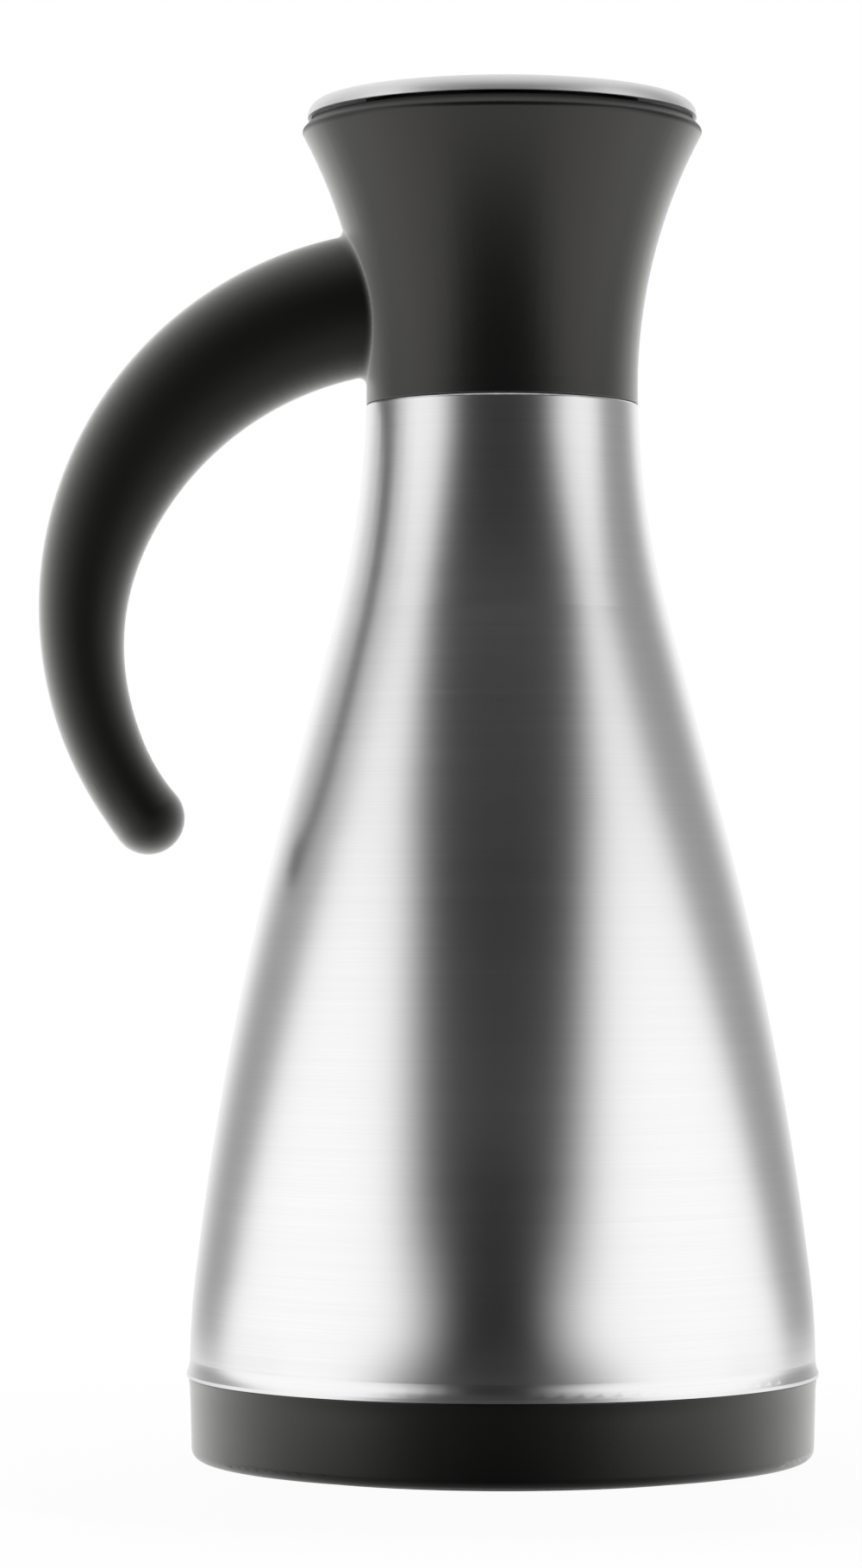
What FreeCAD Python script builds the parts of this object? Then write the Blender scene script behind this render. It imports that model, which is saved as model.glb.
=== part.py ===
"""Thermal jug: a steel vacuum flask in a plastic base, with a flared collar, a horn handle
and a lift-out pouring funnel that carries a weighted, hinged lid.

Millimetres. The origin is on the jug's axis where it rests on the table, +Z points up,
the handle points to -X and the jug pours over its +X side.
"""
import FreeCAD, Part
import Sketcher
import math
import os

AXIS_X = FreeCAD.Vector(1, 0, 0)
AXIS_Y = FreeCAD.Vector(0, 1, 0)
AXIS_Z = FreeCAD.Vector(0, 0, 1)

doc = FreeCAD.newDocument("ThermalJug")

# Driving sizes

SIZES = (
    ("base_height", "18", "table to the top edge of the base cup"),
    ("base_setback", "0.3", "base cup's top edge inside the steel lip above it"),
    ("base_flare_run", "0.4", "hollow flare below the base cup's top edge, outward"),
    ("base_flare_rise", "4", "hollow flare below the base cup's top edge, upward"),
    ("base_taper", "0.3", "how much narrower the base cup is at its foot than below the flare"),
    ("base_foot_round", "2.2", "round under the base cup's outer edge"),
    ("base_lip_round", "0.3", "round on the base cup's top edge"),
    ("base_wall", "2.4", "base cup's wall at its foot"),
    ("base_floor", "1.8", "base cup's floor"),
    ("base_fit", "0.1", "gap between the steel foot and the base cup"),
    ("seat_rise", "0.8", "ring that carries the steel foot, above the floor"),
    ("seat_width", "2.8", "width of that ring"),
    ("pad_margin", "9.3", "non-slip pad's edge inside the base cup's foot"),
    ("pad_thickness", "1.8", "non-slip pad"),
    ("pad_proud", "1", "how far the pad stands below the base cup"),
    ("pad_fit", "0.2", "gap round the pad in its recess"),
    ("foot_radius", "64.4", "steel body just above the base cup"),
    ("foot_blend", "8.1", "tangent length of the curve above the foot"),
    ("foot_lip_run", "0.7", "how far the steel's lip stands out over the base cup"),
    ("foot_lip_rise", "2.9", "height of the hollow curve into that lip"),
    ("foot_lip_edge", "0.7", "thickness of that lip at its edge"),
    ("hip_inset", "6.8", "how far the hip's corner lies inside the foot radius"),
    ("hip_height", "86.6", "height of the hip's corner, where flank and hip lines meet"),
    ("hip_blend", "47", "tangent length of the curve at the hip"),
    ("blend_rest", "1.5", "straight that is left between two curves"),
    ("shoulder_height", "197.9", "height where the flank line meets the neck line"),
    ("neck_blend", "23.7", "tangent length of the curve from neck to flank"),
    ("waist_radius", "28.1", "narrowest place of the neck, outside"),
    ("seam_drop", "3.4", "seam between collar and steel, below the narrowest place"),
    ("seam_round", "0.7", "round on the steel's edge at that seam"),
    ("shell_wall", "0.8", "outer steel wall"),
    ("neck_tube_height", "18.3", "steel neck above the seam, inside the collar"),
    ("vacuum_gap", "6", "space between the two steel walls along the body"),
    ("neck_gap", "1.5", "space between the two steel walls in the neck"),
    ("liner_wall", "0.6", "inner steel wall"),
    ("inner_bottom_rim", "4", "upstanding rim of the inner bottom plate"),
    ("inner_bottom_round", "2.5", "bend of the inner bottom plate"),
    ("inner_bottom_fit", "0.1", "gap round the inner bottom plate before welding"),
    ("bottom_rise", "5.2", "outer bottom plate's floor above the foot of the shell"),
    ("bottom_round", "2", "bend of the outer bottom plate"),
    ("dimple_radius", "7", "raised pump-out dimple"),
    ("dimple_rise", "1.6", "raised pump-out dimple"),
    ("pump_hole_radius", "0.9", "pump-out hole"),
    ("bead_radius", "4", "bead that closes the pump-out hole"),
    ("bead_height", "1.1", "bead that closes the pump-out hole"),
    ("getter_radius", "5", "getter pellet"),
    ("getter_height", "2.5", "getter pellet"),
    ("getter_offset", "30", "getter pellet's distance from the axis"),
    ("collar_neck_wall", "2.1", "collar's wall round the steel neck"),
    ("collar_fit", "0.1", "gap between the collar and the steel neck"),
    ("collar_extra", "0.9", "added wall in the collar's flare"),
    ("rim_radius", "41.6", "collar's widest corner"),
    ("rim_height", "53.2", "collar's widest corner above the narrowest place of the neck"),
    ("rim_round", "1", "round on that corner"),
    ("bevel_run", "2", "bevel above that corner, inward"),
    ("bevel_rise", "2.1", "bevel above that corner, upward"),
    ("neck_seal_width", "1.9", "silicone ring on the flask's lip"),
    ("neck_seal_height", "1.2", "silicone ring on the flask's lip"),
    ("handle_stand", "54.5", "back of the handle outside the collar's widest corner"),
    ("handle_back_radius", "78.2", "handle's back curve"),
    ("grip_upper_inset", "14.9", "upper curve of the finger side, smaller than the back curve"),
    ("grip_upper_shift", "1.4", "centre of that curve from the back curve's centre, to the jug"),
    ("grip_upper_drop", "14.5", "centre of that curve below the back curve's centre"),
    ("grip_lower_inset", "14.5", "lower curve of the finger side, smaller than the upper one"),
    ("grip_turn", "154.4", "direction, in degrees, in which the two finger curves meet"),
    ("handle_root_width", "23", "handle across, at the collar"),
    ("handle_tip_width", "15", "handle across, at its free end"),
    ("handle_root_inside", "13.5", "handle's first section, inside the collar, from the jug's axis"),
    ("handle_root_drop", "1.3", "middle of that section below the saddle plate's middle"),
    ("tip_turn", "218.3", "direction, in degrees, of the handle's last section"),
    ("handle_flatness", "0.35", "least that a section is deeper than it is wide"),
    ("handle_root_round", "1.6", "hollow round where the handle meets the collar"),
    ("plate_gap", "0.4", "saddle plate above the silicone ring"),
    ("plate_height", "5", "saddle plate"),
    ("plate_width", "16.5", "saddle plate"),
    ("plate_thickness", "1.6", "saddle plate in its middle"),
    ("handle_screw_radius", "1.5", "handle screw's shank"),
    ("handle_screw_grip", "13", "length of the shank in the handle, past the collar's wall"),
    ("handle_screw_spacing", "11", "distance between the two handle screws"),
    ("handle_head_radius", "2.4", "handle screw's head"),
    ("handle_head_height", "1.6", "handle screw's head"),
    ("screw_clearance", "0.1", "gap round a screw's shank in a plain hole"),
    ("key_size", "2", "hexagon socket across its flats"),
    ("key_depth", "1", "hexagon socket"),
    ("funnel_gap", "0.4", "gap between funnel and collar"),
    ("funnel_wall", "1.6", "funnel's wall"),
    ("funnel_lip", "0.8", "funnel's rim that lies on the collar"),
    ("seat_drop", "7.6", "height of the cone on which the lid's seal sits"),
    ("seat_wall", "2.4", "wall under that cone, measured upright"),
    ("seat_clear", "5.7", "underside of that wall above the silicone ring"),
    ("spigot_gap", "1.1", "gap round the spigot in the flask's neck"),
    ("spigot_wall", "2.4", "wall of the spigot in the flask's neck"),
    ("spigot_depth", "10.5", "spigot below the steel mouth"),
    ("ring_rise", "4.4", "middle of the spigot's ring above the spigot's end"),
    ("ring_thickness", "2", "cross section of the spigot's ring"),
    ("ring_groove_depth", "1", "groove of the spigot's ring"),
    ("ring_groove_play", "0.4", "groove's width beyond the ring"),
    ("hinge_inset", "1.061", "hinge axis inside the wall of the funnel's bowl"),
    ("hinge_drop", "5.6", "hinge axis below the collar's widest corner"),
    ("pin_radius", "1", "hinge pin"),
    ("pin_length", "17.6", "hinge pin"),
    ("pin_fit", "0.05", "running gap round the hinge pin"),
    ("knuckle_radius", "2", "hinge knuckle and bosses"),
    ("knuckle_width", "12", "hinge knuckle"),
    ("knuckle_gap", "0.9", "gap round the knuckle in the funnel's wall"),
    ("knuckle_side_gap", "0.3", "gap beside the knuckle"),
    ("lid_overhang", "0.7", "lid's edge outside the funnel's rim"),
    ("lid_gap", "0.7", "lid's skirt above the funnel's rim"),
    ("lid_skirt", "0.3", "straight skirt below the lid's bend"),
    ("lid_crown", "6.2", "rise of the dome above the skirt"),
    ("lid_bend", "3", "outer bend between dome and skirt"),
    ("lid_sheet", "0.8", "steel sheet of the dome"),
    ("core_hinge_gap", "4", "edge of the core's plate inside the hinge axis"),
    ("core_plate", "1.5", "plate under the dome"),
    ("hub_margin", "2.2", "hub's top inside that plate's edge"),
    ("hub_foot_margin", "0.65", "hub's foot inside the seal's lower edge"),
    ("hub_wall", "1.8", "hub"),
    ("boss_radius", "4", "screw boss in the hub"),
    ("seal_rise", "3.8", "seal's underside above the foot of its seat"),
    ("seal_thickness", "2.2", "lid seal"),
    ("seal_gap", "0.45", "gap between seal and seat, measured level"),
    ("seal_bore_margin", "2.1", "lid seal's bore inside the funnel's bore"),
    ("plug_flange_width", "3", "plug's flange under the seal, beyond the seal's bore"),
    ("plug_flange", "1.2", "plug's flange"),
    ("plug_lean", "3.2", "how much narrower the plug's underside is than its flange"),
    ("plug_depth", "3.6", "plug below the seal"),
    ("plug_floor", "2.6", "plug's floor"),
    ("plug_rim", "1.6", "plug's rim above the seal"),
    ("plug_wall", "1.3", "plug's rim round the weight"),
    ("weight_height", "14", "weight in the hub"),
    ("weight_fit", "0.1", "gap round the weight"),
    ("lid_screw_radius", "1.5", "lid screw's shank"),
    ("lid_screw_grip", "11", "length of the shank in the boss"),
    ("lid_head_radius", "3", "lid screw's head"),
    ("lid_head_height", "1.4", "lid screw's head"),
    ("head_gap", "0.3", "gap round a sunk screw head"),
)

size = doc.addObject("Spreadsheet::Sheet", "Size")
for row, (alias, number, note) in enumerate(SIZES, start=1):
    size.set(f"A{row}", alias)
    size.set(f"B{row}", number)
    size.set(f"C{row}", note)
    size.setAlias(f"B{row}", alias)

# Places worked out from the sizes

layout = doc.addObject("Spreadsheet::Sheet", "Layout")
layout_rows = []


def derive(alias, formula):
    """Add a named place to the layout sheet, as a formula on the driving sizes."""
    layout_rows.append(alias)
    row = len(layout_rows)
    layout.set(f"A{row}", alias)
    layout.set(f"B{row}", f"={formula}")
    layout.setAlias(f"B{row}", alias)


def place(alias):
    """The number that a named place or size has now."""
    found = layout.get(alias) if alias in layout_rows else size.get(alias)
    return found.Value if hasattr(found, "Value") else float(found)


def refresh():
    """Work out the sheets."""
    size.recompute()
    layout.recompute()


# Heights and radii of the base
derive("lip_radius", "Size.foot_radius + Size.foot_lip_run")
derive("base_top_radius", "lip_radius - Size.base_setback")
derive("base_waist_radius", "base_top_radius - Size.base_flare_run")
derive("base_foot_radius", "base_waist_radius - Size.base_taper")
derive("base_bore", "base_foot_radius - Size.base_wall")
derive("pad_radius", "base_foot_radius - Size.pad_margin")
derive("floor_z", "Size.pad_thickness + Size.base_floor")
derive("seat_z", "floor_z + Size.seat_rise")
derive("shell_foot_radius", "base_bore - Size.base_fit")
derive("foot_z", "Size.base_height + Size.foot_lip_edge + Size.foot_lip_rise")
derive("bottom_z", "seat_z + Size.bottom_rise")

# The body's outline: a neck line, a flank line, a hip line and a foot line, joined by arcs
derive("waist_z", "Size.shoulder_height + Size.neck_blend")
derive("foot_corner_z", "foot_z + Size.foot_blend")
derive("hip_radius", "Size.foot_radius - Size.hip_inset")
derive("flank_run", "hip_radius - Size.waist_radius")
derive("flank_fall", "Size.shoulder_height - Size.hip_height")
derive("hip_fall", "Size.hip_height - foot_corner_z")
derive("flank_lean", "atan2(flank_run; flank_fall)")
derive("hip_lean", "atan2(Size.hip_inset; hip_fall)")
derive("flank_room", "sqrt(flank_run ^ 2 + flank_fall ^ 2) - Size.neck_blend - Size.blend_rest")
derive("hip_room", "sqrt(Size.hip_inset ^ 2 + hip_fall ^ 2) - Size.foot_blend - Size.blend_rest")
derive("hip_reach", "min(Size.hip_blend; flank_room; hip_room)")
derive("neck_curve", "Size.neck_blend / tan(flank_lean / 2)")
derive("hip_curve", "hip_reach / tan((flank_lean - hip_lean) / 2)")
derive("foot_curve", "Size.foot_blend / tan(hip_lean / 2)")

# The neck and the mouth
derive("seam_z", "waist_z - Size.seam_drop")
derive("mouth_z", "seam_z + Size.neck_tube_height")
derive("lip_z", "mouth_z + Size.liner_wall")
derive("collar_bore", "Size.waist_radius - Size.collar_neck_wall")
derive("neck_tube_radius", "collar_bore - Size.collar_fit")
derive("liner_neck_radius", "neck_tube_radius - Size.shell_wall - Size.neck_gap")
derive("flask_bore", "liner_neck_radius - Size.liner_wall")


def derive_wall(name, neck_radius, inset):
    """Places on the body's outline moved inward by a depth, for one face of a steel wall."""
    derive(f"{name}_neck_radius", neck_radius)
    derive(f"{name}_inset", inset)
    derive(f"{name}_flank_offset",
           f"Size.waist_radius * cos(flank_lean) + Size.shoulder_height * sin(flank_lean) - {name}_inset")
    derive(f"{name}_hip_offset",
           f"Size.foot_radius * cos(hip_lean) + foot_corner_z * sin(hip_lean) - {name}_inset")
    derive(f"{name}_foot_radius", f"Size.foot_radius - {name}_inset")
    derive(f"{name}_neck_curve", f"neck_curve + {name}_inset")
    derive(f"{name}_hip_curve", f"hip_curve - {name}_inset")
    derive(f"{name}_foot_curve", f"foot_curve - {name}_inset")
    derive(f"{name}_neck_reach", f"{name}_neck_curve * tan(flank_lean / 2)")
    derive(f"{name}_hip_reach", f"{name}_hip_curve * tan((flank_lean - hip_lean) / 2)")
    derive(f"{name}_foot_reach", f"{name}_foot_curve * tan(hip_lean / 2)")
    derive(f"{name}_shoulder_z",
           f"({name}_flank_offset - {name}_neck_radius * cos(flank_lean)) / sin(flank_lean)")
    derive(f"{name}_hip_radius",
           f"({name}_hip_offset * sin(flank_lean) - {name}_flank_offset * sin(hip_lean))"
           " / sin(flank_lean - hip_lean)")
    derive(f"{name}_hip_z",
           f"({name}_flank_offset * cos(hip_lean) - {name}_hip_offset * cos(flank_lean))"
           " / sin(flank_lean - hip_lean)")
    derive(f"{name}_foot_corner_z",
           f"({name}_hip_offset - {name}_foot_radius * cos(hip_lean)) / sin(hip_lean)")


def wall_points(name):
    """Ends of the arcs on one face of a steel wall, from the foot up to the neck."""
    hip_low = (f"{name}_foot_radius - {name}_foot_reach * sin(hip_lean)",
               f"{name}_foot_corner_z + {name}_foot_reach * cos(hip_lean)")
    hip_high = (f"{name}_hip_radius + {name}_hip_reach * sin(hip_lean)",
                f"{name}_hip_z - {name}_hip_reach * cos(hip_lean)")
    flank_low = (f"{name}_hip_radius - {name}_hip_reach * sin(flank_lean)",
                 f"{name}_hip_z + {name}_hip_reach * cos(flank_lean)")
    flank_high = (f"{name}_neck_radius + {name}_neck_reach * sin(flank_lean)",
                  f"{name}_shoulder_z - {name}_neck_reach * cos(flank_lean)")
    neck = (f"{name}_neck_radius", f"{name}_shoulder_z + {name}_neck_reach")
    return hip_low, hip_high, flank_low, flank_high, neck


derive_wall("skin", "Size.waist_radius", "0")
derive_wall("lining", "Size.waist_radius - Size.shell_wall", "Size.shell_wall")
derive_wall("flask", "liner_neck_radius", "Size.shell_wall + Size.vacuum_gap")
derive_wall("store", "flask_bore", "Size.shell_wall + Size.vacuum_gap + Size.liner_wall")
derive("seam_radius",
       "Size.waist_radius + neck_curve - sqrt(neck_curve ^ 2 - Size.seam_drop ^ 2)")
derive("seam_inner_radius",
       "Size.waist_radius + neck_curve"
       " - sqrt((neck_curve + Size.shell_wall) ^ 2 - (Size.seam_drop + Size.shell_wall) ^ 2)")

# The collar's flare: arcs about one centre, outside the jug
derive("rim_z", "waist_z + Size.rim_height")
derive("flare_run", "Size.rim_radius - Size.waist_radius")
derive("flare_curve", "(Size.rim_height ^ 2 + flare_run ^ 2) / (2 * flare_run)")
derive("flare_centre", "Size.waist_radius + flare_curve")
derive("collar_wall", "Size.collar_neck_wall + Size.collar_extra")
derive("collar_curve", "flare_curve + collar_wall")
derive("funnel_curve", "collar_curve + Size.funnel_gap")
derive("bowl_curve", "funnel_curve + Size.funnel_wall")
derive("bevel_top_radius", "Size.rim_radius - Size.bevel_run")
derive("bevel_top_z", "rim_z + Size.bevel_rise")
derive("land_z", "bevel_top_z - Size.funnel_lip")
derive("land_radius", "Size.rim_radius - Size.bevel_run * (land_z - rim_z) / Size.bevel_rise")
derive("bore_top_z", "waist_z + sqrt(collar_curve ^ 2 - (flare_centre - collar_bore) ^ 2)")


def flare(curve, height):
    """Radius of one of the flare's arcs at a height."""
    return f"flare_centre - sqrt({curve} ^ 2 - ({height} - waist_z) ^ 2)"


# The funnel
derive("throat_z", "lip_z + Size.neck_seal_height + Size.seat_clear + Size.seat_wall")
derive("bowl_z", "throat_z + Size.seat_drop")
derive("bowl_radius", flare("bowl_curve", "bowl_z"))
derive("spigot_radius", "flask_bore - Size.spigot_gap")
derive("throat_radius", "spigot_radius - Size.spigot_wall")
derive("spigot_z", "mouth_z - Size.spigot_depth")
derive("ring_z", "spigot_z + Size.ring_rise")
derive("ring_groove_radius", "spigot_radius - Size.ring_groove_depth")
derive("ring_groove_half", "(Size.ring_thickness + Size.ring_groove_play) / 2")

# The hinge, on the handle's side of the mouth
derive("hinge_z", "rim_z - Size.hinge_drop")
derive("hinge_x", "Size.hinge_inset - (" + flare("bowl_curve", "hinge_z") + ")")
derive("slot_width", "Size.knuckle_width + 2 * Size.knuckle_side_gap")
derive("slot_radius", "Size.knuckle_radius + Size.knuckle_gap")

# The lid
derive("lid_radius", "bevel_top_radius + Size.lid_overhang")
derive("lid_foot_z", "bevel_top_z + Size.lid_gap")
derive("lid_bend_z", "lid_foot_z + Size.lid_skirt")
derive("lid_top_z", "lid_bend_z + Size.lid_crown")
derive("bend_centre", "lid_radius - Size.lid_bend")
derive("crown_curve",
       "(bend_centre ^ 2 + Size.lid_crown ^ 2 - Size.lid_bend ^ 2)"
       " / (2 * (Size.lid_crown - Size.lid_bend))")
derive("crown_centre_z", "lid_top_z - crown_curve")
derive("crown_lean", "asin(bend_centre / (crown_curve - Size.lid_bend))")
derive("crown_inner_curve", "crown_curve - Size.lid_sheet")
derive("plate_curve", "crown_inner_curve - Size.core_plate")
derive("bend_inner", "Size.lid_bend - Size.lid_sheet")
derive("core_radius", "-hinge_x - Size.core_hinge_gap")
derive("hub_top_radius", "core_radius - Size.hub_margin")
derive("seal_z", "throat_z + Size.seal_rise")
derive("seal_top_z", "seal_z + Size.seal_thickness")
derive("seat_slope", "(bowl_radius - throat_radius) / Size.seat_drop")
derive("seal_radius", "throat_radius + Size.seal_rise * seat_slope - Size.seal_gap")
derive("hub_foot_radius", "seal_radius - Size.hub_foot_margin")
derive("seal_bore", "throat_radius - Size.seal_bore_margin")
derive("plug_flange_radius", "seal_bore + Size.plug_flange_width")
derive("plug_foot_radius", "plug_flange_radius - Size.plug_lean")
derive("weight_radius", "seal_bore - Size.plug_wall - Size.weight_fit")
derive("plug_z", "seal_z - Size.plug_depth")
derive("plug_floor_z", "plug_z + Size.plug_floor")
derive("head_seat_z", "plug_z + Size.lid_head_height")
derive("lid_screw_z", "plug_floor_z + Size.lid_screw_grip")


def crown(curve, radius):
    """Height of one of the dome's arcs at a radius."""
    return f"crown_centre_z + sqrt({curve} ^ 2 - ({radius}) ^ 2)"


derive("hub_top_z", crown("plate_curve", "hub_top_radius"))
derive("hub_share", "(hinge_z - seal_top_z) / (hub_top_z - seal_top_z)")
derive("arm_end_x",
       "-(hub_foot_radius + (hub_top_radius - hub_foot_radius) * hub_share"
       " - Size.hub_wall / 2)")

# The handle and what holds it
derive("saddle_z", "lip_z + Size.neck_seal_height + Size.plate_gap + Size.plate_height / 2")
derive("handle_middle", "Size.handle_back_radius - (Size.grip_upper_inset + Size.grip_upper_drop) / 2")
derive("handle_centre_x", "Size.handle_back_radius - Size.rim_radius - Size.handle_stand")
derive("handle_centre_z", "saddle_z - Size.handle_root_drop - handle_middle")
derive("handle_root_turn", "acos((-Size.handle_root_inside - handle_centre_x) / handle_middle)")
derive("grip_upper_radius", "Size.handle_back_radius - Size.grip_upper_inset")
derive("grip_lower_radius", "grip_upper_radius - Size.grip_lower_inset")
derive("grip_lower_shift",
       "Size.grip_upper_shift + Size.grip_lower_inset * cos(Size.grip_turn * 1 deg)")
derive("grip_lower_drop",
       "Size.grip_upper_drop - Size.grip_lower_inset * sin(Size.grip_turn * 1 deg)")
derive("grip_meet_x", "Size.grip_upper_shift + grip_upper_radius * cos(Size.grip_turn * 1 deg)")
derive("grip_meet_z", "-Size.grip_upper_drop + grip_upper_radius * sin(Size.grip_turn * 1 deg)")
derive("grip_meet_turn", "180 deg - atan2(grip_meet_z; -grip_meet_x)")
derive("saddle_radius", flare("collar_curve", "saddle_z"))
derive("saddle_x", "-(saddle_radius - Size.plate_thickness)")
derive("collar_back_x", "-(" + flare("flare_curve", "saddle_z") + ")")
derive("screw_end_x", "collar_back_x - Size.handle_screw_grip")
refresh()


# Drawing helpers

def new_body(label):
    """A body that becomes one piece."""
    body = doc.addObject("PartDesign::Body", label)
    body.Label = label
    return body


def new_sketch(body, name, plane="XZ_Plane"):
    """A sketch on one of the body's own origin planes."""
    sketch = body.newObject("Sketcher::SketchObject", name)
    support = next(item for item in body.Origin.OriginFeatures if item.Role == plane)
    sketch.AttachmentSupport = [(support, "")]
    sketch.MapMode = "FlatFace"
    return sketch


def pin_point(sketch, geometry, point, across, up):
    """Hold one point of a sketch at two named places, measured from the origin."""
    for kind, axis, alias in (("DistanceX", -2, across), ("DistanceY", -1, up)):
        amount = place(alias)
        if amount == 0:
            sketch.addConstraint(Sketcher.Constraint("PointOnObject", geometry, point, axis))
        elif amount > 0:
            held = sketch.addConstraint(Sketcher.Constraint(kind, -1, 1, geometry, point, amount))
            sketch.setExpression(f"Constraints[{held}]", f"Layout.{alias}")
        else:
            held = sketch.addConstraint(Sketcher.Constraint(kind, geometry, point, -1, 1, -amount))
            sketch.setExpression(f"Constraints[{held}]", f"-Layout.{alias}")


def draw_outline(sketch, corners, arcs):
    """Draw a closed outline through corners given as formulas.

    arcs gives, for the side that starts at a corner, its radius as a formula and the hand
    on which its centre lies, seen along the outline. Every other side is straight.
    """
    names = []
    for number, (across, up) in enumerate(corners):
        pair = (f"{sketch.Name}_across{number}", f"{sketch.Name}_up{number}")
        derive(pair[0], across)
        derive(pair[1], up)
        names.append(pair)
    for number, arc in arcs.items():
        derive(f"{sketch.Name}_curve{number}", arc[0])
    refresh()
    points = [FreeCAD.Vector(place(across), place(up), 0) for across, up in names]
    starts = []
    for number, start in enumerate(points):
        end = points[(number + 1) % len(points)]
        if number not in arcs:
            sketch.addGeometry(Part.LineSegment(start, end))
            starts.append((1, 2))
            continue
        radius = place(f"{sketch.Name}_curve{number}")
        left = arcs[number][1] == "left"
        chord = end - start
        side = FreeCAD.Vector(-chord.y, chord.x, 0).normalize()
        depth = math.sqrt(max(radius ** 2 - (chord.Length / 2) ** 2, 0))
        centre = start + chord * 0.5 + side * (depth if left else -depth)
        first, last = (start, end) if left else (end, start)
        angles = [math.atan2(point.y - centre.y, point.x - centre.x) for point in (first, last)]
        if angles[1] < angles[0]:
            angles[1] += 2 * math.pi
        sketch.addGeometry(Part.ArcOfCircle(Part.Circle(centre, AXIS_Z, radius), *angles))
        starts.append((1, 2) if left else (2, 1))
    for number in range(len(points)):
        after = (number + 1) % len(points)
        sketch.addConstraint(Sketcher.Constraint(
            "Coincident", number, starts[number][1], after, starts[after][0]))
    for number, pair in enumerate(names):
        pin_point(sketch, number, starts[number][0], *pair)
    for number in arcs:
        alias = f"{sketch.Name}_curve{number}"
        held = sketch.addConstraint(Sketcher.Constraint("Radius", number, place(alias)))
        sketch.setExpression(f"Constraints[{held}]", f"Layout.{alias}")


def draw_circle(sketch, across, up, radius):
    """Draw a circle at two named places with a radius given as a formula."""
    alias = f"{sketch.Name}_circle{sketch.GeometryCount}"
    derive(alias, radius)
    refresh()
    centre = FreeCAD.Vector(place(across), place(up), 0)
    circle = sketch.addGeometry(Part.Circle(centre, AXIS_Z, place(alias)))
    pin_point(sketch, circle, 3, across, up)
    held = sketch.addConstraint(Sketcher.Constraint("Radius", circle, place(alias)))
    sketch.setExpression(f"Constraints[{held}]", f"Layout.{alias}")


def turn(body, name, corners, arcs=None, kind="Revolution"):
    """Turn an outline about the jug's axis, to add or to cut."""
    sketch = new_sketch(body, f"{name}_outline")
    draw_outline(sketch, corners, arcs or {})
    feature = body.newObject(f"PartDesign::{kind}", name)
    feature.Profile = sketch
    feature.ReferenceAxis = (sketch, ["V_Axis"])
    feature.Angle = 360
    return feature


def turned_body(label, corners, arcs=None):
    """A piece turned about the jug's axis."""
    body = new_body(label)
    turn(body, f"{label}_turn", corners, arcs)
    return body


def extrude(body, sketch, name, kind, length):
    """Push a sketch out evenly to both sides, to add or to cut."""
    feature = body.newObject(f"PartDesign::{kind}", name)
    feature.Profile = sketch
    feature.SideType = "Symmetric"
    feature.setExpression("Length", length)
    return feature


def drill_across(body, name, radius, length, kind="Pocket"):
    """A round bar or hole along the hinge's axis."""
    sketch = new_sketch(body, f"{name}_outline")
    draw_circle(sketch, "hinge_x", "hinge_z", radius)
    return extrude(body, sketch, name, kind, length)


def round_ring(body, name, radius, ring_radius, ring_z):
    """Round the circular edge that has a given radius and height."""
    base = body.Tip
    found = []
    for number, edge in enumerate(base.Shape.Edges, start=1):
        curve = edge.Curve
        if not isinstance(curve, Part.Circle):
            continue
        if math.isclose(curve.Radius, place(ring_radius), abs_tol=1e-4) and \
                math.isclose(curve.Center.z, place(ring_z), abs_tol=1e-4):
            found.append(f"Edge{number}")
    feature = body.newObject("PartDesign::Fillet", name)
    feature.Base = (base, found)
    feature.setExpression("Radius", f"Size.{radius}")


def bind_place(item, **formulas):
    """Bind an object's position to formulas, one for each axis that is named."""
    for axis, formula in formulas.items():
        item.setExpression(f"Placement.Base.{axis}", formula)


def bind(item, **formulas):
    """Bind an object's sizes to formulas."""
    for name, formula in formulas.items():
        item.setExpression(name, formula)


def gather(name, kind, parts):
    """Join or collect objects under a name."""
    group = doc.addObject(f"Part::{kind}", name)
    setattr(group, "Links" if kind == "Compound" else "Shapes", parts)
    return group


# Base cup: moulded, flared to its top edge, with a ring inside that carries the steel body

def make_base_cup():
    return turned_body("base_cup", [
        ("pad_radius + Size.pad_fit", "Size.pad_proud"),
        ("base_foot_radius - Size.base_foot_round", "Size.pad_proud"),
        ("base_foot_radius", "Size.pad_proud + Size.base_foot_round"),
        ("base_waist_radius", "Size.base_height - Size.base_flare_rise"),
        ("base_top_radius", "Size.base_height"),
        ("base_bore", "Size.base_height"),
        ("base_bore", "seat_z"),
        ("base_bore - Size.seat_width", "seat_z"),
        ("base_bore - Size.seat_width", "floor_z"),
        ("0", "floor_z"),
        ("0", "Size.pad_thickness"),
        ("pad_radius + Size.pad_fit", "Size.pad_thickness"),
    ], {
        1: ("Size.base_foot_round", "left"),
        3: ("(Size.base_flare_rise ^ 2 + Size.base_flare_run ^ 2) / (2 * Size.base_flare_run)", "right"),
    })


# Non-slip pad: a disc let into the underside of the base cup

def make_base_pad():
    pad = doc.addObject("Part::Cylinder", "base_pad")
    bind(pad, Radius="Layout.pad_radius", Height="Size.pad_thickness")
    return pad


# Outer shell: drawn steel with a lip over the base cup, stepped in to a foot tube below it
# and to a neck tube under the collar

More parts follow.
